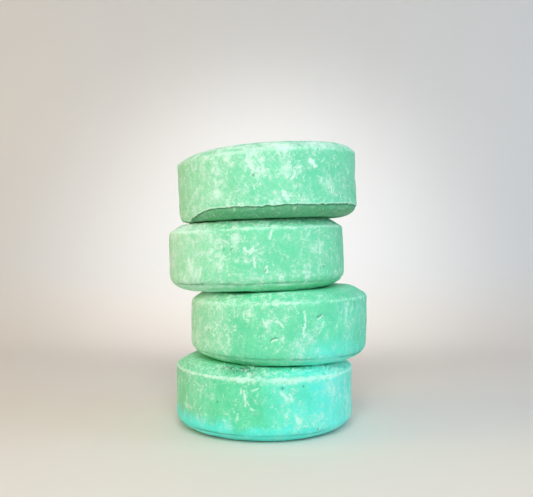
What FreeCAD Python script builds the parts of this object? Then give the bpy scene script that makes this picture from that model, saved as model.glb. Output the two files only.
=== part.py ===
"""A stack of four round shaving soap pucks, each resting flat on the one below.

A puck is a pressed disc of hard soap in one piece: a straight round wall, a sloping shoulder round
the top and the bottom, and two flat faces. The two faces of a puck aren't quite parallel, so each
puck is a slight wedge and the stack leans a little. The pucks are loose, and lie off centre.

Frame: millimetres, +Z up, origin at the centre of the bottom puck's resting face. -Y is the front.
"""

import os

import FreeCAD
import Part
import Sketcher

# Sizes that all the pucks share. A shoulder rises along the wall and runs in along the face. Where
# it meets the face it is rounded. The trim margin is extra height that the wedge cut takes off.
SHARED = {
    "shoulder_rise": 3.5,
    "shoulder_run": 5.7,
    "face_radius": 6.0,
    "trim_margin": 6.0,
}

# One entry for each puck, from the bottom up. Thickness is at the centre. The top face rises by
# wedge_side degrees towards +X and by wedge_front degrees towards -Y, against the puck's own bottom
# face. Slip is how far the puck's centre lies from the centre of the face that it rests on.
PUCKS = {
    "bottom_puck": {
        "diameter": 69.6,
        "thickness": 27.4,
        "wedge_side": -0.7,
        "wedge_front": -0.9,
        "slip_side": 0.0,
        "slip_back": 0.0,
    },
    "second_puck": {
        "diameter": 70.0,
        "thickness": 26.9,
        "wedge_side": 2.4,
        "wedge_front": 0.7,
        "slip_side": 5.6,
        "slip_back": 1.4,
    },
    "third_puck": {
        "diameter": 70.0,
        "thickness": 26.7,
        "wedge_side": 0.7,
        "wedge_front": 0.2,
        "slip_side": -8.9,
        "slip_back": 1.8,
    },
    "top_puck": {
        "diameter": 70.6,
        "thickness": 26.9,
        "wedge_side": 2.3,
        "wedge_front": 0.2,
        "slip_side": 5.4,
        "slip_back": -3.5,
    },
}

TABLE = "placement(vector(0 mm; 0 mm; 0 mm); rotation(0 deg; 0 deg; 0 deg))"


def fill_sheet(doc):
    """Writes every driving dimension to the sheet, one row each, under its alias."""
    sheet = doc.addObject("Spreadsheet::Sheet", "sizes")
    values = dict(SHARED)
    for puck, dimensions in PUCKS.items():
        for name, value in dimensions.items():
            values[f"{puck}_{name}"] = value
    for row, (alias, value) in enumerate(values.items(), start=1):
        sheet.set(f"A{row}", alias)
        sheet.set(f"B{row}", str(value))
        sheet.setAlias(f"B{row}", alias)
    doc.recompute()


def top_face_of(puck):
    """Where the centre of a puck's top face is in the puck's own frame, with the face's slope."""
    centre = f"vector(0 mm; 0 mm; 1 mm * sizes.{puck}_thickness)"
    slope = f"rotation(0 deg; -1 deg * sizes.{puck}_wedge_side; -1 deg * sizes.{puck}_wedge_front)"
    return f"placement({centre}; {slope})"


def slip_of(puck):
    """How far a puck lies off the centre of the face below it."""
    shift = f"vector(1 mm * sizes.{puck}_slip_side; 1 mm * sizes.{puck}_slip_back; 0 mm)"
    return f"placement({shift}; rotation(0 deg; 0 deg; 0 deg))"


def add_circle_sketch(body, name, diameter):
    """A sketch on the body's XY plane: one circle round the origin, of that diameter."""
    sketch = body.newObject("Sketcher::SketchObject", name)
    plane = next(f for f in body.Origin.OriginFeatures if f.Role == "XY_Plane")
    sketch.AttachmentSupport = [(plane, "")]
    sketch.MapMode = "FlatFace"
    first_radius = 30
    circle = sketch.addGeometry(Part.Circle(FreeCAD.Vector(), FreeCAD.Vector(0, 0, 1), first_radius))
    centre, root = (circle, 3), (-1, 1)
    sketch.addConstraint(Sketcher.Constraint("Coincident", *centre, *root))
    size = sketch.addConstraint(Sketcher.Constraint("Diameter", circle, 2 * first_radius))
    sketch.setExpression(f"Constraints[{size}]", diameter)
    return sketch


def round_edges(feature):
    """The names of the feature's closed edges, from the lowest to the highest."""
    edges = [(i, edge) for i, edge in enumerate(feature.Shape.Edges, start=1) if edge.isClosed()]
    edges.sort(key=lambda item: item[1].BoundBox.ZMin + item[1].BoundBox.ZMax)
    return [f"Edge{i}" for i, edge in edges]


def add_disc(body, name):
    """The puck before trimming: a plain disc that stands a little too tall."""
    disc = body.newObject("PartDesign::Pad", f"{name}_disc")
    disc.Profile = add_circle_sketch(body, f"{name}_outline", f"1 mm * sizes.{name}_diameter")
    disc.setExpression("Length", f"1 mm * (sizes.{name}_thickness + sizes.trim_margin)")


def add_wedge_trim(body, name):
    """Takes off everything above the sloping top face."""
    sketch = add_circle_sketch(body, f"{name}_trim_outline", f"2 mm * sizes.{name}_diameter")
    sketch.setExpression("AttachmentOffset", top_face_of(name))
    trim = body.newObject("PartDesign::Pocket", f"{name}_trim")
    trim.Profile = sketch
    trim.Type = "ThroughAll"
    trim.Reversed = True
    return trim


def add_shoulders(body, name, trim):
    """Slopes the wall into both faces."""
    bottom_rim, top_rim = round_edges(trim)
    shoulders = body.newObject("PartDesign::Chamfer", f"{name}_shoulders")
    shoulders.Base = (trim, [bottom_rim, top_rim])
    shoulders.ChamferType = "Two distances"
    shoulders.setExpression("Size", "1 mm * sizes.shoulder_rise")
    shoulders.setExpression("Size2", "1 mm * sizes.shoulder_run")
    return shoulders


def add_face_rounding(body, name, shoulders):
    """Rounds the edge where each shoulder meets its flat face."""
    bottom_face_edge, _, _, top_face_edge = round_edges(shoulders)
    rounding = body.newObject("PartDesign::Fillet", f"{name}_rounding")
    rounding.Base = (shoulders, [bottom_face_edge, top_face_edge])
    rounding.setExpression("Radius", "1 mm * sizes.face_radius")


def build_puck(doc, name, below):
    """One puck, modelled on its own XY plane and then set on the puck below, or on the table."""
    body = doc.addObject("PartDesign::Body", name)
    body.Label = name
    add_disc(body, name)
    trim = add_wedge_trim(body, name)
    doc.recompute()
    shoulders = add_shoulders(body, name, trim)
    doc.recompute()
    add_face_rounding(body, name, shoulders)
    seat = f"{below}.Placement * {top_face_of(below)}" if below else TABLE
    body.setExpression("Placement", f"{seat} * {slip_of(name)}")
    return body


def check(doc, bodies):
    """Stops unless every object was made and every puck is one valid solid, cut on both rims."""
    failed = [o.Name for o in doc.Objects if {"Invalid", "Error"} & set(o.State)]
    if failed:
        raise RuntimeError(f"these objects failed: {failed}")
    for body in bodies:
        shape = body.Shape
        if shape.isNull() or not shape.isValid() or len(shape.Solids) != 1:
            raise RuntimeError(f"{body.Label} isn't one valid solid")
        steps = [f for f in body.Group if not f.isDerivedFrom("Sketcher::SketchObject")]
        volumes = [step.Shape.Volume for step in steps]
        if sorted(volumes, reverse=True) != volumes or len(set(volumes)) != len(volumes):
            raise RuntimeError(f"{body.Label}: a cut took nothing off, in {volumes}")


def report(body):
    """Prints where the puck's two flat faces are, and its volume."""
    flats = [face for face in body.Shape.Faces if isinstance(face.Surface, Part.Plane)]
    for face in flats:
        centre = face.CenterOfMass
        normal = face.normalAt(0, 0)
        place = ", ".join(f"{value:.3f}" for value in centre)
        direction = ", ".join(f"{value:.6f}" for value in normal)
        print(f"{body.Label}: flat face at ({place}) mm, facing ({direction})")
    print(f"{body.Label}: {body.Shape.Volume / 1000:.1f} cm3")


def main():
    doc = FreeCAD.newDocument("soap_puck_stack")
    fill_sheet(doc)
    bodies = []
    below = None
    for name in PUCKS:
        bodies.append(build_puck(doc, name, below))
        below = name
    doc.recompute()
    check(doc, bodies)
    os.makedirs("parts", exist_ok=True)
    for body in bodies:
        body.Shape.exportStep(os.path.join("parts", f"{body.Label}.step"))
        report(body)


main()
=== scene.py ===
"""The looks of a stack of four pressed shaving soap pucks.

Each puck is turned from a plain disc: its wall is trimmed to the wedge that it was pressed to, a
slope is drawn up to each flat face, and the edges are worn. Then the soap is weathered: lumps,
a ragged flash on the rims, an undercut lower rim, pits, cracks, dents, a chip and torn slopes.
The weathering leaves marks on the mesh, and the soap's finish turns them into chalk, scuffs,
haze, a turquoise tint that is partly the soap's dye and partly painted cool light, painted warm
light on one side, and painted shade in the pits, cracks, grooves and chip, under the torn lip, on
the bare slope and round the shreds. A few torn shreds stand up from the bottom puck.

Metres, +Z up. The origin is the middle of the bottom puck's resting face, and -Y is the front.
"""

import math
import random

import bpy
import numpy as np
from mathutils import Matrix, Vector, noise


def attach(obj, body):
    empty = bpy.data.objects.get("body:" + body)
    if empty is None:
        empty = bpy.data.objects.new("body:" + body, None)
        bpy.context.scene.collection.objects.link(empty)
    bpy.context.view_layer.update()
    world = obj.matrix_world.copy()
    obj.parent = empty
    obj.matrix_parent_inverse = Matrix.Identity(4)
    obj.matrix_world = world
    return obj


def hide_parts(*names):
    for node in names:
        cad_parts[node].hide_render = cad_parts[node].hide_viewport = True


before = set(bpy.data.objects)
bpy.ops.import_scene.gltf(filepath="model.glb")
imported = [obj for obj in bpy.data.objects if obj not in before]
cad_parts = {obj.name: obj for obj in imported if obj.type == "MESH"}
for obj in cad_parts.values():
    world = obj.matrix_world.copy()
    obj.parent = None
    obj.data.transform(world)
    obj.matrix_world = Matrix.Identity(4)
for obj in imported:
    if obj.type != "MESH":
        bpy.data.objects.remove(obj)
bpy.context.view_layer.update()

MM = 0.001

# The pressing: how far a shoulder rises along the wall and runs in along the face, how much the
# edge of a face is worn, and how far a face stays clear of the puck that it rests on. A disc has
# that many sides before its mesh is made even, in squares of that size.
SHOULDER_RISE = 3.5 * MM
SHOULDER_RUN = 5.7 * MM
FACE_EDGE_WEAR = 1.7 * MM
FACE_GAP = 0.09 * MM
WALL_SIDES = 256
MESH_STEP = 0.4 * MM

# The part of a wall that carries scattered marks only, from one direction in degrees to another.
FAR_SIDE = (-15, 195)


# ---------------------------------------------------------------- measuring the frame


class Puck:
    """Where one puck lies, read from its CAD node: its two flat faces, its axis and its radius."""

    def __init__(self, node):
        self.seat, self.down = flat_face(node, -1)
        self.crown, self.up = flat_face(node, 1)
        self.turn = Vector((0, 0, 1)).rotation_difference(-self.down).to_matrix()
        upright = self.turn.transposed()
        own = [upright @ (v.co - self.seat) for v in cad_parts[node].data.vertices]
        self.radius = max(math.hypot(p.x, p.y) for p in own)
        self.thickness = (self.crown - self.seat).length


def flat_face(node, way):
    """The middle and the outward direction of a puck's upper (way 1) or lower (way -1) face."""
    facing = [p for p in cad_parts[node].data.polygons if p.normal.z * way > 0.9]
    direction = max(facing, key=lambda p: p.area).normal.copy()
    same_way = 0.999999
    flat = [p for p in facing if p.normal.dot(direction) > same_way]
    area = sum(p.area for p in flat)
    return sum((p.center * p.area for p in flat), Vector()) / area, direction


# ---------------------------------------------------------------- the pressing


def clear_selection():
    """Leaves nothing selected, so that the next operator acts on its own piece only."""
    if bpy.context.object and bpy.context.object.mode != "OBJECT":
        bpy.ops.object.mode_set(mode="OBJECT")
    bpy.ops.object.select_all(action="DESELECT")


def pick_faces(piece, wanted):
    """Selects, in edit mode, only the faces for which wanted is true."""
    bpy.ops.mesh.select_mode(type="FACE")
    bpy.ops.mesh.select_all(action="DESELECT")
    bpy.ops.object.mode_set(mode="OBJECT")
    for polygon in piece.data.polygons:
        polygon.select = wanted(polygon)
    bpy.ops.object.mode_set(mode="EDIT")


def draw_shoulder(piece, puck, centre, out):
    """Trims the wall one shoulder short of a flat face, and draws the slope up to that face."""
    bpy.ops.mesh.select_all(action="SELECT")
    level = centre - out * SHOULDER_RISE
    bpy.ops.mesh.bisect(plane_co=level, plane_no=out, use_fill=True, clear_outer=True)
    pick_faces(piece, lambda polygon: polygon.normal.dot(out) > 0.9999)
    reach = out * (SHOULDER_RISE - FACE_GAP)
    bpy.ops.mesh.extrude_region_move(TRANSFORM_OT_translate={"value": reach})
    share = (puck.radius - SHOULDER_RUN) / puck.radius
    bpy.ops.transform.resize(value=(share, share, share), center_override=centre)


def wear_edges(sharper_than, width, steps):
    """Rounds every edge that turns by more than an angle in degrees."""
    bpy.ops.mesh.select_mode(type="EDGE")
    bpy.ops.mesh.select_all(action="DESELECT")
    bpy.ops.mesh.edges_select_sharp(sharpness=math.radians(sharper_than))
    bpy.ops.mesh.bevel(offset=width, segments=steps, profile=0.5)


def pick_rim(piece, centre, out):
    """Selects, in edit mode, only the ring of edges where the wall meets one shoulder."""
    bpy.ops.mesh.select_mode(type="EDGE")
    bpy.ops.mesh.select_all(action="DESELECT")
    bpy.ops.object.mode_set(mode="OBJECT")
    for edge in piece.data.edges:
        ends = [piece.data.vertices[v].co for v in edge.vertices]
        edge.select = all(abs((centre - end).dot(out) - SHOULDER_RISE) < 0.01 * MM for end in ends)
    bpy.ops.object.mode_set(mode="EDIT")


def press(puck, name, upper_wear, lower_wear):
    """A clean pressing, as a fine even mesh that can be weathered."""
    clear_selection()
    bpy.ops.mesh.primitive_cylinder_add(
        vertices=WALL_SIDES,
        radius=puck.radius,
        depth=puck.thickness + 2 * SHOULDER_RISE,
        location=(puck.seat + puck.crown) / 2,
        rotation=puck.turn.to_euler(),
    )
    piece = bpy.context.object
    piece.name = piece.data.name = name
    bpy.ops.object.transform_apply(location=True, rotation=True, scale=True)
    bpy.ops.object.mode_set(mode="EDIT")
    draw_shoulder(piece, puck, puck.crown, puck.up)
    draw_shoulder(piece, puck, puck.seat, puck.down)
    pick_rim(piece, puck.crown, puck.up)
    bpy.ops.mesh.bevel(offset=upper_wear, segments=5, profile=0.5)
    pick_rim(piece, puck.seat, puck.down)
    bpy.ops.mesh.bevel(offset=lower_wear, segments=7, profile=0.5)
    wear_edges(25, FACE_EDGE_WEAR, 5)
    bpy.ops.object.mode_set(mode="OBJECT")
    even_out(piece)
    return piece


def even_out(piece):
    """Turns the mesh into even small squares."""
    remesh = piece.modifiers.new("even_mesh", "REMESH")
    remesh.mode = "VOXEL"
    remesh.voxel_size = MESH_STEP
    bpy.ops.object.modifier_apply(modifier=remesh.name)


def roughen(piece, name, size, height, depth=1):
    """Raises and sinks the surface, by half of height either way, in lumps of about that size."""
    texture = bpy.data.textures.new(name, "CLOUDS")
    texture.noise_scale = size
    texture.noise_depth = depth
    displace = piece.modifiers.new(name, "DISPLACE")
    displace.texture = texture
    displace.texture_coords = "LOCAL"
    displace.strength = height
    displace.mid_level = 0.5
    bpy.ops.object.modifier_apply(modifier=name)


# ---------------------------------------------------------------- weathering


def rise(low, high, values):
    """0 below low and 1 above high, with a smooth rise between. High may be the lower one."""
    t = np.clip((values - low) / (high - low), 0, 1)
    return t * t * (3 - 2 * t)


def ridge(values, width):
    """1 at zero, falling away to nothing over about twice the width either side."""
    return np.exp(-((values / width) ** 2))


def drift(points, size, seed, octaves=3):
    """Smooth noise at each point, from about -1 to 1, in lumps of about that size."""
    shift = Vector((seed * 3.7, seed * 1.9, seed * 2.3))
    return np.array([noise.fractal(Vector(p) / size + shift, 1.0, 2.0, octaves) for p in points])


def degrees_apart(a, b):
    """How far two directions round the puck are from each other, from -180 to 180 degrees."""
    return (a - b + 180) % 360 - 180


class Skin:
    """A puck's surface as arrays, for weathering: where each point is on the puck, and its marks.

    around: direction from the axis in degrees, -90 at the front and 0 at the right
    radius: distance from the axis
    above, below: distance from the plane of the lower and of the upper flat face
    outward, axis: the way straight out from the axis, for each point, and the way up along it
    rim_drop: how far the upper rim lies below the upper face
    covered: another puck rests on this one
    """

    MARKS = ("rim", "scuff", "chalk", "haze_and_light", "dragged", "pale", "tint_and_cool_light", "bare_and_shaded", "recess_shade")

    def __init__(self, piece, puck):
        self.piece, self.puck = piece, puck
        mesh = piece.data
        self.points = np.empty(len(mesh.vertices) * 3)
        mesh.vertices.foreach_get("co", self.points)
        self.points = self.points.reshape(-1, 3)
        self.locate()
        self.marks = {mark: np.zeros(len(self.points)) for mark in self.MARKS}
        self.rim_drop = SHOULDER_RISE
        self.covered = True

    def locate(self):
        """Works out where every point is on the puck."""
        puck = self.puck
        turn = np.array(puck.turn)
        own = (self.points - np.array(puck.seat)) @ turn
        self.radius = np.hypot(own[:, 0], own[:, 1])
        self.around = np.degrees(np.arctan2(own[:, 1], own[:, 0]))
        self.above = own[:, 2]
        self.below = (np.array(puck.crown) - self.points) @ np.array(puck.up)
        away = own / np.maximum(self.radius, 1e-9)[:, None]
        away[:, 2] = 0
        self.outward = away @ turn.T
        self.axis = np.array(puck.turn.col[2])

    def across(self, around):
        """How far each point is, round the wall, from a direction in degrees."""
        return degrees_apart(self.around, around) * math.pi / 180 * self.puck.radius

    def whole(self, near, values):
        """Values for the near points only, as an array for every point."""
        spread = np.zeros(len(self.points))
        spread[near] = values
        return spread

    def push(self, direction, amount):
        """Moves the points along a direction, or along one direction each."""
        self.points = self.points + np.asarray(direction) * np.asarray(amount)[:, None]

    def mark(self, name, strength):
        """Adds to one of the marks that the material reads."""
        self.marks[name] = np.clip(np.maximum(self.marks[name], strength), 0, 1)

    def finish(self):
        """Keeps both faces clear of their neighbours, and writes everything back to the mesh."""
        self.locate()
        low = np.maximum(FACE_GAP / 2 - self.above, 0)
        self.push(self.axis, low)
        if self.covered:
            high = np.maximum(FACE_GAP / 2 - self.below, 0)
            self.push(-np.array(self.puck.up), high)
        mesh = self.piece.data
        mesh.vertices.foreach_set("co", self.points.ravel())
        for name, values in self.marks.items():
            attribute = mesh.attributes.new(name, "FLOAT", "POINT")
            attribute.data.foreach_set("value", values.astype(np.float32))
        mesh.update()


def flash_the_top_rim(skin, height, width, white, seed):
    """A ragged flash of soap that the press left along the upper rim, rubbed white.

    height: as a share of the width
    width: one width, or one for every point
    """
    width = np.broadcast_to(width, skin.radius.shape)
    from_rim = np.hypot(skin.puck.radius - skin.radius, skin.below - skin.rim_drop)
    near = from_rim < 3 * width + 1 * MM
    points, from_rim, width = skin.points[near], from_rim[near], width[near]
    ragged = drift(points, 1.2 * MM, seed, 4) + 0.6 * drift(points, 5 * MM, seed + 1)
    burr = height * width * np.clip(0.4 + 0.8 * ragged, 0, 1.3) * ridge(from_rim, 0.8 * width)
    skin.push((skin.outward * 0.75 + skin.axis * 0.65), skin.whole(near, burr))
    patchy = np.clip(0.9 + 0.6 * drift(points, 9 * MM, seed + 2), 0.2, 1.2)
    torn = ridge(from_rim + 0.9 * width * np.clip(ragged - 0.2, -0.9, 1), width)
    skin.mark("rim", skin.whole(near, torn * patchy * white))


def undercut_the_lower_rim(skin, depth, seed):
    """A thin groove, not quite even, that the press left just below the lower rim."""
    near = (skin.above < 7 * MM) & (skin.radius > skin.puck.radius - 5 * MM)
    points = skin.points[near]
    height = SHOULDER_RISE - 0.15 * MM + 0.35 * MM * drift(points, 16 * MM, seed)
    strength = np.clip(0.55 + 1.0 * drift(points, 11 * MM, seed + 1), 0.08, 1)
    groove = ridge(skin.above[near] - height, 0.32 * MM) * strength
    skin.push(-skin.outward, skin.whole(near, groove * depth))
    # Painted shade darkens the groove.
    skin.mark("recess_shade", skin.whole(near, groove * 0.7))
    band = ridge(skin.above[near] - height + 0.95 * MM, 0.5 * MM)
    band *= np.clip(0.45 + 0.9 * drift(points, 5 * MM, seed + 2), 0, 1)
    skin.mark("rim", skin.whole(near, band * 0.55))


def round_edge(skin, from_face, run, tall, fullness):
    """Swaps the slope at one face for a rounded edge.

    from_face: distance from that face, for every point
    fullness: 1 for a straight slope, 2 for a full round
    """
    short = np.clip((tall - from_face) / tall, 0, 1)
    rounded = run * (1 - (1 - short**fullness) ** (1 / fullness))
    sloped = SHOULDER_RUN * np.clip(1 - from_face / SHOULDER_RISE, 0, 1)
    inner = skin.puck.radius - SHOULDER_RUN
    share = rise(inner - 8 * MM, inner - 0.5 * MM, skin.radius) * (from_face < 6 * MM)
    skin.push(skin.outward, (sloped - rounded) * share)
    skin.locate()


def peel_the_lower_slope(skin, depth, seed):
    """The lower edge has lost its outer skin. The skin's torn edge overhangs it as a thin lip.

    The lip runs along the lower rim and dips to the flat face at the left. The bare slope below it
    is painted darker, partly as its own colour and partly as painted shade.
    """
    near = (skin.above < 9 * MM) & (skin.radius > skin.puck.radius - 11 * MM)
    points = skin.points[near]
    dip = rise(60, 20, np.abs(degrees_apart(skin.around[near], 180)))
    lip = 4.3 * MM - 4.3 * MM * dip
    lip += 0.35 * MM * drift(points, 9 * MM, seed) + 0.34 * MM * drift(points, 2.2 * MM, seed + 1)
    under = lip - skin.above[near]
    slope = rise(0.1 * MM, 0.8 * MM, skin.above[near])
    bare_and_shaded = rise(0, 0.3 * MM, under)
    edge = ridge(under + 0.2 * MM, 0.3 * MM)
    notch = bare_and_shaded * (0.35 + 0.65 * ridge(under, 1.3 * MM)) * slope
    skin.push(-skin.outward * 0.8 + skin.axis * 0.5, skin.whole(near, notch * depth))
    skin.push(skin.outward - 0.3 * skin.axis, skin.whole(near, edge * 0.12 * MM))
    skin.mark("rim", skin.whole(near, edge * 0.75))
    # The bare slope faces down and is painted darker green: partly its own colour, partly painted
    # shade.
    skin.mark("bare_and_shaded", skin.whole(near, bare_and_shaded))
    # Painted shade darkens the soap just under the torn lip.
    skin.mark("recess_shade", skin.whole(near, ridge(under - 0.3 * MM, 0.28 * MM) * slope * 0.9))


def tear_the_upper_slope(skin, around, half_width, height, seed):
    """A stretch of the upper slope where soap was torn up in a ragged, fibrous crust."""
    near = (skin.below < 5 * MM) & (skin.radius > skin.puck.radius - 9 * MM)
    near &= np.abs(degrees_apart(skin.around, around)) < half_width
    points = skin.points[near]
    ends = rise(half_width, half_width * 0.6, np.abs(degrees_apart(skin.around[near], around)))
    inner = skin.puck.radius - SHOULDER_RUN
    on_slope = rise(inner - 1.5 * MM, inner + 0.5 * MM, skin.radius[near])
    on_slope *= rise(4.2 * MM, 3.2 * MM, skin.below[near])
    fibres = drift(points, 1.1 * MM, seed, 4) + 0.5 * drift(points, 5 * MM, seed + 1)
    crust = np.clip(0.3 + fibres, 0, 1.2) * ends * on_slope
    skin.push(skin.outward * 0.5 + skin.axis * 0.85, skin.whole(near, crust * height))
    skin.mark("scuff", skin.whole(near, crust * 0.6))


def chip_the_upper_slope(skin, around, half_width, depth, seed):
    """A long narrow chip in the upper slope, which nears the flat face towards the front."""
    turn = degrees_apart(skin.around, around)
    middle = skin.puck.radius - 3.1 * MM - 0.20 * MM * turn
    from_middle = np.hypot(turn / half_width, (skin.radius - middle) / (1.8 * MM))
    from_middle += 0.5 * drift(skin.points, 2 * MM, seed, 4)
    chip = rise(1.1, 0.75, from_middle) * (skin.below < 4.5 * MM)
    skin.push(-skin.outward * 0.6 - skin.axis * 0.6, chip * depth)
    # Painted shade darkens the chip.
    skin.mark("recess_shade", chip * 0.6)


def lift_the_crown(skin, height):
    """The upper face stands a little proud, more so away from the left."""
    right = rise(180, 90, np.abs(skin.around))
    right = np.maximum(right, rise(25 * MM, 10 * MM, skin.radius))
    skin.push(skin.axis, height * rise(4 * MM, 0.5 * MM, skin.below) * right)
    skin.covered = False


def pit(skin, around, height, size, depth):
    """A small hole in the wall."""
    across = skin.across(around)
    hole = ridge(np.hypot(across, skin.above - height), 0.9 * size)
    skin.push(-skin.outward, hole * depth)
    # Painted shade darkens the hole.
    skin.mark("recess_shade", hole)


def stroke(skin, around, height, length, lean, bow=0.0):
    """A stroke on the wall: how far each point is off its line, and whether it is within its ends.

    lean: how far it leans from the vertical, in degrees
    bow: how far its middle lies off the straight line between its ends
    """
    across = skin.across(around)
    up = skin.above - height
    along = across * math.sin(math.radians(lean)) + up * math.cos(math.radians(lean))
    off = across * math.cos(math.radians(lean)) - up * math.sin(math.radians(lean))
    off = off - bow * (1 - (2 * along / length) ** 2)
    ends = rise(length / 2, length / 2 - 0.6 * MM, np.abs(along))
    on_wall = skin.radius > skin.puck.radius - 3 * MM
    return off, ends * on_wall


def crack(skin, around, height, length, lean, bow, depth):
    """A thin curved crack with a pale raised lip on one side."""
    off, ends = stroke(skin, around, height, length, lean, bow)
    opening = ridge(off, 0.24 * MM) * ends
    skin.push(-skin.outward, opening * depth)
    # Painted shade darkens the crack's opening.
    skin.mark("recess_shade", opening * 0.8)
    lip = ridge(off - 0.55 * MM, 0.35 * MM) * ends
    skin.push(skin.outward, lip * 0.15 * MM)
    skin.mark("scuff", lip * 0.8)


def scuff(skin, around, height, length, width, lean, strength=1.0, bow=0.0):
    """A pale scuffed stroke with ragged edges, scratched a little into the wall."""
    off, ends = stroke(skin, around, height, length, lean, bow)
    near = (np.abs(off) < 4 * width) & (ends > 0)
    points = skin.points[near]
    off = off[near] + width * drift(points, 2.0 * MM, 51)
    grains = np.clip(1.2 + 1.3 * drift(points, 0.9 * MM, 52, 4), 0.1, 1.7)
    line = ridge(off, width * 0.9) * ends[near] * grains
    skin.push(-skin.outward, skin.whole(near, line * 0.1 * MM))
    skin.mark("scuff", skin.whole(near, line * strength))


def dent(skin, around, height, wide, tall, depth):
    """A shallow scoop in the wall."""
    across = skin.across(around)
    scoop = ridge(np.hypot(across / wide, (skin.above - height) / tall), 1.0)
    skin.push(-skin.outward, scoop * depth)


def chalk(skin, around, height, size):
    """A patch of the wall where the chalky bloom is thick."""
    across = skin.across(around)
    skin.mark("chalk", ridge(np.hypot(across, skin.above - height), size))


def chalk_patches(skin, *patches):
    """Several chalky patches: the direction in degrees, the height and the size in mm of each."""
    for around, height, size in patches:
        chalk(skin, around, height * MM, size * MM)


def side(skin, around, half_width):
    """How far each point belongs to one side of the wall: 1 in its middle and 0 outside it."""
    on_wall = rise(skin.puck.radius - 16 * MM, skin.puck.radius - 5 * MM, skin.radius)
    return on_wall * rise(half_width, half_width * 0.25, np.abs(degrees_apart(skin.around, around)))


def warm_lit_side(skin, around, half_width, pale, haze_and_light):
    """Painted warm light: one side of the puck made evenly paler, yellower and hazier than the
    rest.
    """
    skin.mark("pale", pale * side(skin, around, half_width))
    skin.mark("haze_and_light", haze_and_light * side(skin, around, half_width))


def scatter(skin, seed):
    """Small marks on the far side of the wall, where none are listed."""
    pick = random.Random(seed)
    for _ in range(16):
        around = pick.uniform(*FAR_SIDE)
        height = pick.uniform(6, 21) * MM
        kind = pick.choice(["pit", "scuff", "scuff", "chalk", "chalk", "crack", "dent"])
        if kind == "pit":
            pit(skin, around, height, pick.uniform(0.3, 0.5) * MM, pick.uniform(0.3, 0.6) * MM)
        elif kind == "scuff":
            length, lean = pick.uniform(3, 9) * MM, pick.uniform(-50, 50)
            scuff(skin, around, height, length, 0.35 * MM, lean, 0.8, pick.uniform(-0.8, 0.8) * MM)
        elif kind == "chalk":
            chalk(skin, around, height, pick.uniform(2.5, 5) * MM)
        elif kind == "crack":
            length, lean = pick.uniform(2, 4) * MM, pick.uniform(30, 120)
            crack(skin, around, height, length, lean, pick.uniform(-0.5, 0.5) * MM, 0.5 * MM)
        else:
            dent(skin, around, height, 3 * MM, 2 * MM, 0.3 * MM)


def feather(skin, seed, count, strength):
    """Many short faint strokes at all angles, over the whole wall."""
    pick = random.Random(seed)
    for _ in range(count):
        around, height = pick.uniform(-180, 180), pick.uniform(4, 24) * MM
        length, width = pick.uniform(1.5, 5) * MM, pick.uniform(0.2, 0.4) * MM
        lean, bow = pick.uniform(-70, 70), pick.uniform(-0.8, 0.8) * MM
        scuff(skin, around, height, length, width, lean, strength * pick.uniform(0.5, 1.1), bow)


# ---------------------------------------------------------------- the four pucks


def make_puck(name, weather, upper_wear, lower_wear):
    """Presses one puck, weathers it and puts it in the place of its CAD node."""
    puck = Puck(name)
    piece = press(puck, f"{name}_soap", upper_wear, lower_wear)
    roughen(piece, "hand_shaped", 26 * MM, 0.9 * MM)
    roughen(piece, "lumps", 6.5 * MM, 0.42 * MM)
    roughen(piece, "crumb", 1.5 * MM, 0.16 * MM, depth=2)
    skin = Skin(piece, puck)
    weather(skin)
    skin.finish()
    clear_selection()
    piece.select_set(True)
    bpy.context.view_layer.objects.active = piece
    bpy.ops.object.shade_smooth()
    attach(piece, name)
    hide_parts(name)
    return piece


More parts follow.
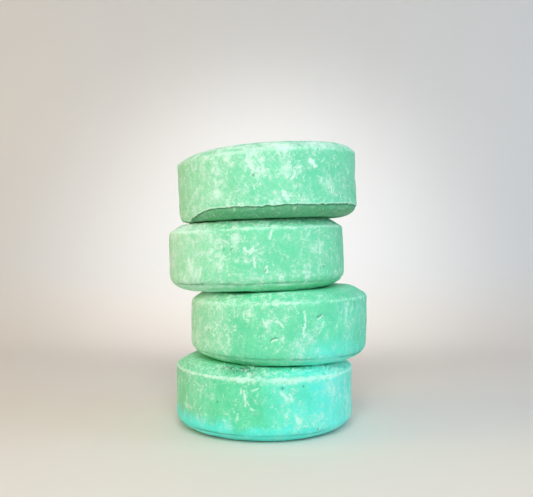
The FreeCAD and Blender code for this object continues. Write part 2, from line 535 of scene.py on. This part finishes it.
def weather_bottom(skin):
    thick = 0.4 * MM + 0.75 * MM * side(skin, -80, 50) + 0.5 * MM * side(skin, 90, 130)
    flash_the_top_rim(skin, 0.65, thick, 1.1, 11)
    undercut_the_lower_rim(skin, 0.3 * MM, 12)
    tear_the_upper_slope(skin, -95, 100, 0.6 * MM, 13)
    # Painted shade on the upper slope round the foot of the shreds.
    turn, run = degrees_apart(skin.around, -108) / 11, (skin.radius - 30.4 * MM) / (1.5 * MM)
    from_shreds = np.hypot(turn, run)
    ragged = np.clip(1 + 1.2 * drift(skin.points, 1.6 * MM, 16), 0, 1.4)
    skin.mark("recess_shade", 0.75 * ridge(from_shreds, 1.0) * ragged * (skin.below < 4 * MM))
    pit(skin, -79, 20.3 * MM, 0.45 * MM, 0.6 * MM)
    pit(skin, -66, 20.7 * MM, 0.4 * MM, 0.4 * MM)
    pit(skin, -119, 14.9 * MM, 0.35 * MM, 0.4 * MM)
    pit(skin, -56, 4.6 * MM, 0.4 * MM, 0.4 * MM)
    scuff(skin, -101.4, 17.0 * MM, 6.5 * MM, 0.35 * MM, -4)
    scuff(skin, -103.5, 19.5 * MM, 3.0 * MM, 0.3 * MM, 8, 0.8)
    scuff(skin, -95.5, 20.2 * MM, 3.5 * MM, 0.3 * MM, 78, 0.8, 0.3 * MM)
    scuff(skin, -97.5, 14.6 * MM, 5.0 * MM, 0.3 * MM, -38, 0.8, -0.8 * MM)
    scuff(skin, -79, 17.6 * MM, 5.0 * MM, 0.7 * MM, -42, 0.8, 0.5 * MM)
    scuff(skin, -74, 17.0 * MM, 4.0 * MM, 0.4 * MM, -15, 0.7)
    scuff(skin, -70, 9.0 * MM, 4.5 * MM, 0.5 * MM, -30, 0.8)
    scuff(skin, -106, 9.8 * MM, 4.0 * MM, 0.4 * MM, 12, 0.6)
    chalk_patches(
        skin,
        (-143, 10, 3.0),
        (-130, 8.2, 3.0),
        (-112, 5, 4.0),
        (-70, 9, 4.0),
        (-76, 16.5, 4.5),
        (-56, 9, 5.0),
        (-45, 18, 5.0),
    )
    scatter(skin, 14)
    feather(skin, 18, 90, 0.4)
    skin.marks["scuff"] *= 1 - 0.6 * side(skin, 180, 60)
    # Turquoise tint low down and on the right: partly the soap's dye, partly painted cool light
    # from the right lamp and the floor.
    edge = 7.5 * MM + 3.5 * MM * side(skin, 180, 60) + 3.0 * MM * drift(skin.points, 9 * MM, 17)
    low = rise(edge + 5 * MM, edge - 5 * MM, skin.above)
    low *= rise(skin.puck.radius - 12 * MM, skin.puck.radius - 6 * MM, skin.radius)
    skin.mark("tint_and_cool_light", np.maximum(0.9 * low, 0.7 * side(skin, -20, 100)))
    skin.mark("haze_and_light", 0.55 * side(skin, 5, 75))
    dragged = np.maximum(0.65 * side(skin, 175, 85), 0.5 * side(skin, -5, 60))
    skin.mark("dragged", dragged * rise(4 * MM, 8 * MM, skin.above))
    warm_lit_side(skin, 180, 75, 0.5 * rise(6 * MM, 12 * MM, skin.above), 0.1)


def weather_second(skin):
    flash_the_top_rim(skin, 0.5, 0.55 * MM, 0.9, 21)
    tear_the_upper_slope(skin, -108, 62, 0.3 * MM, 25)
    undercut_the_lower_rim(skin, 0.4 * MM, 22)
    crack(skin, -93.5, 10.7 * MM, 3.2 * MM, 72, -0.5 * MM, 0.6 * MM)
    scuff(skin, -88.7, 11.0 * MM, 2.4 * MM, 0.4 * MM, 18)
    dent(skin, -64.5, 18.4 * MM, 2.4 * MM, 1.3 * MM, 0.6 * MM)
    crack(skin, -66.5, 19.3 * MM, 3.2 * MM, 62, 0.5 * MM, 0.35 * MM)
    pit(skin, -139, 12.4 * MM, 0.35 * MM, 0.5 * MM)
    pit(skin, -157, 5.6 * MM, 0.5 * MM, 0.4 * MM)
    scuff(skin, -76.3, 17.0 * MM, 9.0 * MM, 0.4 * MM, 2, 0.7, 0.4 * MM)
    scuff(skin, -99.5, 16.5 * MM, 4.0 * MM, 0.4 * MM, -22, 0.8, 0.3 * MM)
    scuff(skin, -90.2, 16.4 * MM, 4.5 * MM, 0.45 * MM, -48)
    scuff(skin, -45.2, 19.5 * MM, 8.0 * MM, 0.4 * MM, 5, 0.7)
    scuff(skin, -133.6, 10.9 * MM, 1.8 * MM, 0.4 * MM, -30)
    chalk_patches(
        skin,
        (-117, 21.5, 3.0),
        (-108, 20.5, 2.5),
        (-86, 19.5, 3.0),
        (-124, 9.5, 3.0),
        (-99, 16, 2.5),
        (-74, 12, 4.0),
        (-128, 18, 5.0),
        (-78, 7, 4.0),
        (-110, 5, 4.0),
    )
    scatter(skin, 24)
    feather(skin, 28, 110, 0.5)
    # Turquoise tint on the right and low down: partly the soap's dye, partly painted cool light.
    skin.mark("tint_and_cool_light", side(skin, -35, 75) * (0.25 + 0.4 * rise(18 * MM, 0, skin.above)))
    skin.mark("dragged", 0.6 * side(skin, -10, 60))
    warm_lit_side(skin, 180, 75, 0.6, 0.6)


def weather_third(skin):
    flash_the_top_rim(skin, 0.5, 0.5 * MM, 0.7, 31)
    tear_the_upper_slope(skin, -95, 100, 0.3 * MM, 35)
    chip_the_upper_slope(skin, -162, 13, 0.5 * MM, 36)
    undercut_the_lower_rim(skin, 0.4 * MM, 32)
    pit(skin, -108.5, 16.0 * MM, 0.28 * MM, 0.4 * MM)
    crack(skin, -103.5, 16.0 * MM, 1.5 * MM, 25, 0, 0.25 * MM)
    pit(skin, -43.5, 8.6 * MM, 0.35 * MM, 0.5 * MM)
    pit(skin, -125, 3.6 * MM, 0.4 * MM, 0.3 * MM)
    dent(skin, -80, 15.5 * MM, 2.6 * MM, 4.5 * MM, 0.4 * MM)
    crack(skin, -84.3, 8.2 * MM, 2.0 * MM, 30, 0.3 * MM, 0.4 * MM)
    scuff(skin, -83.8, 9.0 * MM, 3.0 * MM, 0.4 * MM, 28)
    scuff(skin, -80.2, 21.0 * MM, 4.2 * MM, 0.5 * MM, 6)
    scuff(skin, -94.5, 15.3 * MM, 4.0 * MM, 0.6 * MM, -48)
    scuff(skin, -91.8, 15.6 * MM, 3.6 * MM, 0.6 * MM, 34)
    scuff(skin, -90.1, 11.0 * MM, 4.4 * MM, 0.35 * MM, -6, 0.8)
    scuff(skin, -125, 8.0 * MM, 5.0 * MM, 0.3 * MM, 16)
    scuff(skin, -74, 6.3 * MM, 3.2 * MM, 0.4 * MM, 70, 0.9, 0.6 * MM)
    chalk_patches(
        skin,
        (-114, 17, 4.0),
        (-110, 10, 4.5),
        (-100, 20, 3.0),
        (-92, 14, 4.0),
        (-74, 6.5, 3.0),
        (-61, 19.6, 2.5),
        (-47, 17, 3.0),
        (-90, 5, 3.0),
        (-130, 8, 5.0),
        (-58, 6, 4.0),
    )
    warm_lit_side(skin, 180, 85, 0.85, 0.85)
    scatter(skin, 34)
    feather(skin, 38, 110, 0.45)


def weather_top(skin):
    left = side(skin, 180, 80)
    round_edge(skin, skin.above, (7.6 - 4.6 * left) * MM, (4.6 - 2.2 * left) * MM, 2)
    round_edge(skin, skin.below, 5.6 * MM, 3.3 * MM, 1.25)
    skin.rim_drop = 3.3 * MM
    lift_the_crown(skin, 0.45 * MM)
    flash_the_top_rim(skin, 0.3, 0.5 * MM, 0.4, 41)
    peel_the_lower_slope(skin, 0.4 * MM, 42)
    patchy = np.clip(0.85 + 1.1 * drift(skin.points, 5 * MM, 43), 0.2, 1)
    skin.mark("haze_and_light", 0.9 * patchy * rise(5 * MM, 1.5 * MM, skin.below))
    skin.mark("haze_and_light", 0.3 * side(skin, -107, 28) * rise(15 * MM, 22 * MM, skin.above))
    pit(skin, -97.8, 15.1 * MM, 0.35 * MM, 0.5 * MM)
    dent(skin, -70, 19.8 * MM, 3.5 * MM, 1.6 * MM, 0.35 * MM)
    dent(skin, -88, 20 * MM, 5.0 * MM, 3.0 * MM, 0.35 * MM)
    scuff(skin, -80, 7.5 * MM, 5.0 * MM, 0.7 * MM, -30)
    scuff(skin, -99.5, 18.5 * MM, 6.0 * MM, 0.7 * MM, -24)
    scuff(skin, -62, 19.0 * MM, 4.5 * MM, 0.8 * MM, -40)
    scuff(skin, -75.5, 14.8 * MM, 4.0 * MM, 0.4 * MM, 30, 0.7, 0.9 * MM)
    chalk_patches(
        skin,
        (-110, 7.4, 4.0),
        (-93, 15.6, 4.5),
        (-113, 22, 3.0),
        (-57, 25, 5.0),
        (-64, 22, 4.0),
        (-76, 14.8, 4.0),
        (-67, 7, 3.0),
        (-78, 24, 5.0),
        (-122, 10, 5.0),
        (-100, 21, 3.0),
        (-50, 12, 4.0),
        (-86, 6, 3.0),
    )
    warm_lit_side(skin, 180, 85, 0.8, 0.35)
    scatter(skin, 44)
    feather(skin, 48, 100, 0.45)
    skin.marks["scuff"] *= 1 - 0.6 * side(skin, -10, 45)


def add_shreds(body, count, seed):
    """Thin curled shreds of torn soap that stand up from a puck's upper slope, near the front."""
    puck = Puck(body)
    pick = random.Random(seed)
    clear_selection()
    root, tip, length = 0.30 * MM, 0.06 * MM, 3.0 * MM
    bpy.ops.mesh.primitive_cone_add(vertices=7, radius1=root, radius2=tip, depth=length)
    first = bpy.context.object
    bpy.ops.object.mode_set(mode="EDIT")
    bpy.ops.mesh.select_all(action="SELECT")
    bpy.ops.mesh.subdivide(number_cuts=4)
    bpy.ops.transform.translate(value=(0, 0, 1.3 * MM))
    bpy.ops.object.mode_set(mode="OBJECT")
    curl = first.modifiers.new("curl", "SIMPLE_DEFORM")
    curl.deform_method = "BEND"
    curl.deform_axis = "X"
    curl.angle = math.radians(95)
    bpy.ops.object.modifier_apply(modifier=curl.name)
    bpy.ops.object.shade_smooth()
    shreds = [first]
    for _ in range(count - 1):
        clear_selection()
        first.select_set(True)
        bpy.context.view_layer.objects.active = first
        bpy.ops.object.duplicate()
        shreds.append(bpy.context.object)
    for shred in shreds:
        around, radius = pick.uniform(-120, -96), pick.uniform(29.6, 33.4) * MM
        shred.location = on_the_upper_slope(puck, around, radius)
        turns = [pick.uniform(*turn) for turn in ((-45, 45), (-45, 45), (0, 360))]
        shred.rotation_euler = [math.radians(turn) for turn in turns]
        shred.scale = [pick.uniform(0.7, 1.5), pick.uniform(0.7, 1.5), pick.uniform(0.4, 0.8)]
    clear_selection()
    for shred in shreds:
        shred.select_set(True)
    bpy.context.view_layer.objects.active = first
    bpy.ops.object.join()
    bpy.ops.object.transform_apply(location=True, rotation=True, scale=True)
    first.name = first.data.name = f"{body}_shreds"
    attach(first, body)
    return first


def on_the_upper_slope(puck, around, radius):
    """The point on a puck's upper slope in that direction, at that distance from the axis."""
    turn = math.radians(around)
    foot = puck.seat + puck.turn @ Vector((radius * math.cos(turn), radius * math.sin(turn), 0))
    drop = SHOULDER_RISE * (radius - puck.radius + SHOULDER_RUN) / SHOULDER_RUN
    axis = puck.turn.col[2]
    return foot + axis * (((puck.crown - foot).dot(puck.up) - drop) / axis.dot(puck.up))


# ---------------------------------------------------------------- the soap

# The colours that every puck shares: its turquoise tint, which is partly painted cool light, its
# chalk in plain and in turquoise soap, its side in painted warm light, its dragged side, its bare
# soap under the torn skin, darkened partly with painted shade, and the painted shade in its
# hollows.
TURQUOISE = (0.10, 0.92, 0.82, 1)
CHALK = (0.67, 0.98, 0.82, 1)
SEA_CHALK = (0.44, 0.98, 0.83, 1)
WARM_LIT_GREEN = (0.34, 0.78, 0.44, 1)
DRAB = (0.18, 0.50, 0.35, 1)
BARE_AND_SHADED = (0.06, 0.30, 0.11, 1)
SHADE = (0.02, 0.17, 0.08, 1)


class Recipe:
    """A material's node tree, with short calls for the few kinds of node that the soap needs."""

    def __init__(self, name):
        self.material = bpy.data.materials.new(name)
        self.material.use_nodes = True
        self.tree = self.material.node_tree
        self.shader = self.tree.nodes["Principled BSDF"]
        self.place = self.tree.nodes.new("ShaderNodeTexCoord").outputs["Object"]

    def give(self, socket, value):
        """Links a socket to another node's output, or sets its value."""
        if isinstance(value, bpy.types.NodeSocket):
            self.tree.links.new(value, socket)
        else:
            socket.default_value = value

    def stretched(self, turn, scale):
        """Coordinates turned by degrees and squeezed, so that a pattern on them has a grain."""
        node = self.tree.nodes.new("ShaderNodeMapping")
        node.vector_type = "TEXTURE"
        self.give(node.inputs["Vector"], self.place)
        node.inputs["Rotation"].default_value = [math.radians(angle) for angle in turn]
        node.inputs["Scale"].default_value = scale
        return node.outputs["Vector"]

    def cloud(self, size, detail=4.0, roughness=0.55, distortion=0.0, place=None):
        """Cloudy noise, about 0.5 on average, in lumps of about that size."""
        node = self.tree.nodes.new("ShaderNodeTexNoise")
        self.give(node.inputs["Vector"], place or self.place)
        node.inputs["Scale"].default_value = 1 / size
        node.inputs["Detail"].default_value = detail
        node.inputs["Roughness"].default_value = roughness
        node.inputs["Distortion"].default_value = distortion
        return node.outputs["Fac"]

    def step(self, value, low, high, bottom=0.0, top=1.0):
        """The value's rise from low to high, as a smooth change from bottom to top."""
        node = self.tree.nodes.new("ShaderNodeMapRange")
        node.interpolation_type = "SMOOTHSTEP"
        self.give(node.inputs["Value"], value)
        node.inputs["From Min"].default_value = low
        node.inputs["From Max"].default_value = high
        node.inputs["To Min"].default_value = bottom
        node.inputs["To Max"].default_value = top
        return node.outputs["Result"]

    def work(self, operation, a, b):
        """One sum on two values."""
        node = self.tree.nodes.new("ShaderNodeMath")
        node.operation = operation
        self.give(node.inputs[0], a)
        self.give(node.inputs[1], b)
        return node.outputs["Value"]

    def blend(self, share, under, over):
        """The colour over, laid on the colour under by that share."""
        node = self.tree.nodes.new("ShaderNodeMix")
        node.data_type = "RGBA"
        self.give(node.inputs["Factor"], share)
        under_socket, over_socket = [i for i in node.inputs if i.type == "RGBA"]
        self.give(under_socket, under)
        self.give(over_socket, over)
        return next(o for o in node.outputs if o.type == "RGBA")

    def mark(self, name):
        """One of the marks left on the mesh by the weathering."""
        node = self.tree.nodes.new("ShaderNodeAttribute")
        node.attribute_name = name
        return node.outputs["Fac"]

    def bump(self, height, distance, strength):
        """Fine relief for the shader."""
        node = self.tree.nodes.new("ShaderNodeBump")
        node.inputs["Distance"].default_value = distance
        node.inputs["Strength"].default_value = strength
        self.give(node.inputs["Height"], height)
        self.give(self.shader.inputs["Normal"], node.outputs["Normal"])


def soap(name, green, deep, bloom, grain, streaks):
    """Mint green pressed soap with a chalky bloom, painted shade in its hollows, painted warm light
    on one side and a turquoise tint that is partly painted cool light.

    green, deep: the lighter and the darker green of the clean soap
    bloom: how much of the surface is chalky, from 0 for a little to 1 for a lot or more
    grain: how the streaks lean, as three turns in degrees
    streaks: how strong they are, from 0 to 1
    """
    mix = Recipe(name)
    broad = mix.cloud(14 * MM, 3)
    curds = mix.cloud(4.2 * MM, 12, 0.72, 0.3)
    flecks = mix.cloud(1.7 * MM, 8, 0.75, 0.3)
    dust = mix.cloud(0.7 * MM, 4, 0.7)
    drawn = mix.cloud(2.0 * MM, 6, 0.65, 0.3, mix.stretched(grain, (0.5, 0.5, 4.5)))

    patches = mix.work("MULTIPLY", mix.mark("chalk"), 0.13)
    thick = mix.work("ADD", mix.work("MULTIPLY", broad, 0.28), patches)
    level = mix.work("ADD", mix.work("ADD", curds, thick), 0.06 + 0.12 * bloom)
    mottled = mix.work("ADD", level, mix.work("MULTIPLY", flecks, 0.5))
    haze = mix.step(mottled, 0.88, 1.36, 0.0, 0.36)
    curdled = mix.step(level, 0.80, 1.14, 0.0, 0.9)
    speckled = mix.step(mix.work("ADD", flecks, mix.work("MULTIPLY", level, 0.5)), 0.885, 1.125)
    strokes = mix.step(mix.work("ADD", drawn, mix.work("MULTIPLY", level, 0.3)), 0.72, 0.94)
    drag = mix.work("ADD", mix.work("MULTIPLY", mix.mark("dragged"), 0.25), streaks)
    strokes = mix.work("MULTIPLY", strokes, drag)
    grainy = mix.work("MULTIPLY", curdled, mix.step(dust, 0.36, 0.62, 0.25, 1.1))

    white = mix.work("MAXIMUM", grainy, mix.work("MULTIPLY", speckled, 0.95))
    salt = mix.work("ADD", dust, mix.work("MULTIPLY", mottled, 0.35))
    white = mix.work("MAXIMUM", white, mix.step(salt, 0.94, 1.16, 0.0, 0.8))
    white = mix.work("MAXIMUM", white, strokes)
    worn = mix.work("MULTIPLY", mix.mark("rim"), mix.step(flecks, 0.36, 0.60, 0.7, 1.3))
    scuffed = mix.work("MULTIPLY", mix.mark("scuff"), mix.step(dust, 0.34, 0.58, 0.6, 1.7))
    white = mix.work("MAXIMUM", white, mix.work("MAXIMUM", worn, scuffed))
    # Whitish haze: chalky bloom, and on the side lit by the warm lamp also painted light.
    misty = mix.work("MULTIPLY", mix.mark("haze_and_light"), mix.step(mottled, 0.68, 1.22, 0.2, 0.72))
    white = mix.work("ADD", mix.work("MULTIPLY", white, 0.85), mix.work("ADD", haze, misty))
    white = mix.step(white, -0.08, 1.03)

    depth = mix.work("ADD", mix.cloud(13 * MM, 6, 0.65), mix.work("MULTIPLY", dust, 0.5))
    body = mix.blend(mix.step(depth, 0.60, 0.90), deep, green)
    # Turquoise tint: random patches of dye, and the marked tint, which is partly dye and partly
    # painted cool light.
    turned = mix.work("ADD", mix.mark("tint_and_cool_light"), mix.work("MULTIPLY", broad, 0.7))
    body = mix.blend(mix.step(turned, 0.45, 1.25), body, TURQUOISE)
    # Painted warm light: the lit side is paler and yellower.
    warm_lit = mix.work("MULTIPLY", mix.mark("pale"), mix.step(dust, 0.2, 0.7, 0.5, 1.0))
    body = mix.blend(warm_lit, body, WARM_LIT_GREEN)
    combed = mix.work("MULTIPLY", mix.mark("dragged"), mix.step(drawn, 0.54, 0.36, 0.0, 0.8))
    body = mix.blend(combed, body, DRAB)
    # The chalk turns turquoise where the tint lies, which is partly painted cool light.
    powder = mix.blend(mix.mark("tint_and_cool_light"), CHALK, SEA_CHALK)
    colour = mix.blend(white, body, powder)
    colour = mix.blend(mix.step(dust, 0.56, 0.30, 0.0, 0.28), colour, deep)
    # Bare soap under the torn skin, painted darker: partly its own colour, partly painted shade.
    bare_and_shaded = mix.work("MULTIPLY", mix.mark("bare_and_shaded"), mix.step(flecks, 0.40, 0.72, 0.76, 0.42))
    colour = mix.blend(bare_and_shaded, colour, BARE_AND_SHADED)
    # Painted shade in the pits, cracks, grooves and chip, under the torn lip and round the shreds.
    colour = mix.blend(mix.work("MULTIPLY", mix.mark("recess_shade"), 0.9), colour, SHADE)
    mix.give(mix.shader.inputs["Base Color"], colour)
    mix.give(mix.shader.inputs["Roughness"], mix.step(white, 0.0, 1.0, 0.5, 0.85))
    relief = mix.work("ADD", mix.work("MULTIPLY", dust, 0.6), mix.work("ADD", white, flecks))
    mix.bump(relief, 0.12 * MM, 0.8)
    mix.shader.inputs["Subsurface Weight"].default_value = 0.25
    mix.shader.inputs["Subsurface Radius"].default_value = (0.6, 1.6, 1.0)
    mix.shader.inputs["Subsurface Scale"].default_value = 1 * MM
    mix.shader.inputs["Specular IOR Level"].default_value = 0.35
    return mix.material


# ---------------------------------------------------------------- the studio

WHITE = (1.0, 1.0, 1.0)
WARM = (1.0, 0.64, 0.20)
COOL = (0.48, 0.73, 1.0)
FLOOR = (0.825, 0.78, 0.735, 1)
BACKDROP = (0.78, 0.785, 0.785, 1)


def studio():
    """A pale sweep of paper that runs from the table up into the backdrop."""
    width, depth, tall = 3.2, 1.0, 1.6
    back, lean, bend = 0.35, 0.12, 0.17
    clear_selection()
    bpy.ops.mesh.primitive_plane_add(size=1, location=(0, 0, 0))
    sweep = bpy.context.object
    sweep.name = "paper_sweep"
    bpy.ops.transform.resize(value=(width, depth, 1))
    bpy.ops.transform.translate(value=(0, back - depth / 2, 0))
    bpy.ops.object.transform_apply(location=True, rotation=True, scale=True)
    bpy.ops.object.mode_set(mode="EDIT")
    bpy.ops.mesh.select_mode(type="EDGE")
    bpy.ops.mesh.select_all(action="DESELECT")
    bpy.ops.object.mode_set(mode="OBJECT")
    for edge in sweep.data.edges:
        edge.select = all(sweep.data.vertices[v].co.y > back - 0.01 for v in edge.vertices)
    bpy.ops.object.mode_set(mode="EDIT")
    bpy.ops.mesh.extrude_region_move(TRANSFORM_OT_translate={"value": (0, lean, tall)})
    bpy.ops.object.mode_set(mode="OBJECT")
    for edge in sweep.data.edges:
        ends = [sweep.data.vertices[v].co for v in edge.vertices]
        edge.select = all(abs(end.y - back) < 0.01 for end in ends)
    bpy.ops.object.mode_set(mode="EDIT")
    bpy.ops.mesh.bevel(offset=bend, segments=24, profile=0.5)
    bpy.ops.object.mode_set(mode="OBJECT")
    bpy.ops.object.shade_smooth()
    paper = Recipe("paper")
    height = paper.tree.nodes.new("ShaderNodeSeparateXYZ")
    paper.give(height.inputs[0], paper.place)
    tint = paper.blend(paper.step(height.outputs["Z"], 0, 60 * MM), FLOOR, BACKDROP)
    paper.give(paper.shader.inputs["Base Color"], tint)
    paper.shader.inputs["Roughness"].default_value = 0.85
    sweep.data.materials.append(paper.material)


def hang(name, light, place, aim):
    """Puts a light at a place, turned towards what it lights."""
    holder = bpy.data.objects.new(name, light)
    bpy.context.scene.collection.objects.link(holder)
    holder.location = place
    holder.rotation_euler = (Vector(aim) - Vector(place)).to_track_quat("-Z", "Y").to_euler()
    return holder


def soft_box(name, place, aim, size, power, colour):
    """A square soft lamp that the camera doesn't see."""
    light = bpy.data.lights.new(name, "AREA")
    light.shape = "SQUARE"
    light.size = size
    light.energy = power
    light.color = colour
    hang(name, light, place, aim).visible_camera = False


def soft_spot(name, place, aim, spread, power):
    """A round soft pool of light."""
    light = bpy.data.lights.new(name, "SPOT")
    light.energy = power
    light.spot_size = math.radians(spread)
    light.spot_blend = 1.0
    light.shadow_soft_size = 0.05
    hang(name, light, place, aim)


def light_up():
    """Warm light from the left, cool light from the right, and white light from the front."""
    middle = (0, 0, 0.055)
    soft_box("warm_left", (-0.60, -0.12, 0.28), middle, 0.30, 1.0, WARM)
    soft_box("cool_right", (0.60, -0.12, 0.26), middle, 0.30, 0.98, COOL)
    soft_box("front", (0, -0.50, 0.32), middle, 0.32, 1.85, WHITE)
    soft_spot("foot_light", (0, -0.30, 0.45), (0, -0.03, 0), 38, 0.85)
    soft_spot("backdrop_glow", (0, 0.06, 0.24), (0, 0.375, 0.015), 80, 1.85)
    world = bpy.data.worlds.new("studio_fill")
    world.use_nodes = True
    background = world.node_tree.nodes["Background"]
    background.inputs["Color"].default_value = (*WHITE, 1)
    background.inputs["Strength"].default_value = 0.35
    bpy.context.scene.world = world


def take_camera():
    """A camera in front, at about two thirds of the stack's height."""
    camera = bpy.data.cameras.new("camera")
    camera.lens = 48.1
    camera.sensor_width = 36
    camera.clip_start = 0.01
    holder = bpy.data.objects.new("camera", camera)
    bpy.context.scene.collection.objects.link(holder)
    holder.location = (0.84 * MM, -285.8 * MM, 72.2 * MM)
    holder.rotation_euler = (math.radians(89.5), 0, 0)
    bpy.context.scene.camera = holder


bpy.context.scene.view_settings.view_transform = "Standard"
studio()
light_up()
take_camera()
pucks = [
    make_puck("bottom_puck", weather_bottom, upper_wear=0.5 * MM, lower_wear=2.2 * MM),
    make_puck("second_puck", weather_second, upper_wear=1.3 * MM, lower_wear=2.4 * MM),
    make_puck("third_puck", weather_third, upper_wear=0.9 * MM, lower_wear=2.4 * MM),
    make_puck("top_puck", weather_top, upper_wear=0.4 * MM, lower_wear=0.4 * MM),
]
finishes = [
    soap("soap_bottom", (0.14, 0.78, 0.45, 1), (0.08, 0.66, 0.35, 1), 0.15, (0, 0, 0), 0.35),
    soap("soap_second", (0.17, 0.76, 0.44, 1), (0.10, 0.67, 0.37, 1), 0.4, (0, 8, 0), 0.3),
    soap("soap_third", (0.20, 0.77, 0.45, 1), (0.13, 0.69, 0.38, 1), 0.6, (0, 20, 0), 0.2),
    soap("soap_top", (0.19, 0.74, 0.44, 1), (0.12, 0.66, 0.37, 1), 0.7, (0, -40, 0), 0.35),
]
shreds = add_shreds("bottom_puck", count=44, seed=15)
torn = soap("soap_shreds", (0.20, 0.76, 0.48, 1), (0.13, 0.66, 0.38, 1), 1.5, (0, 0, 0), 0.3)
shreds.data.materials.append(torn)
for piece, finish in zip(pucks, finishes):
    piece.data.materials.append(finish)
    print(piece.name, len(piece.data.polygons), "faces")
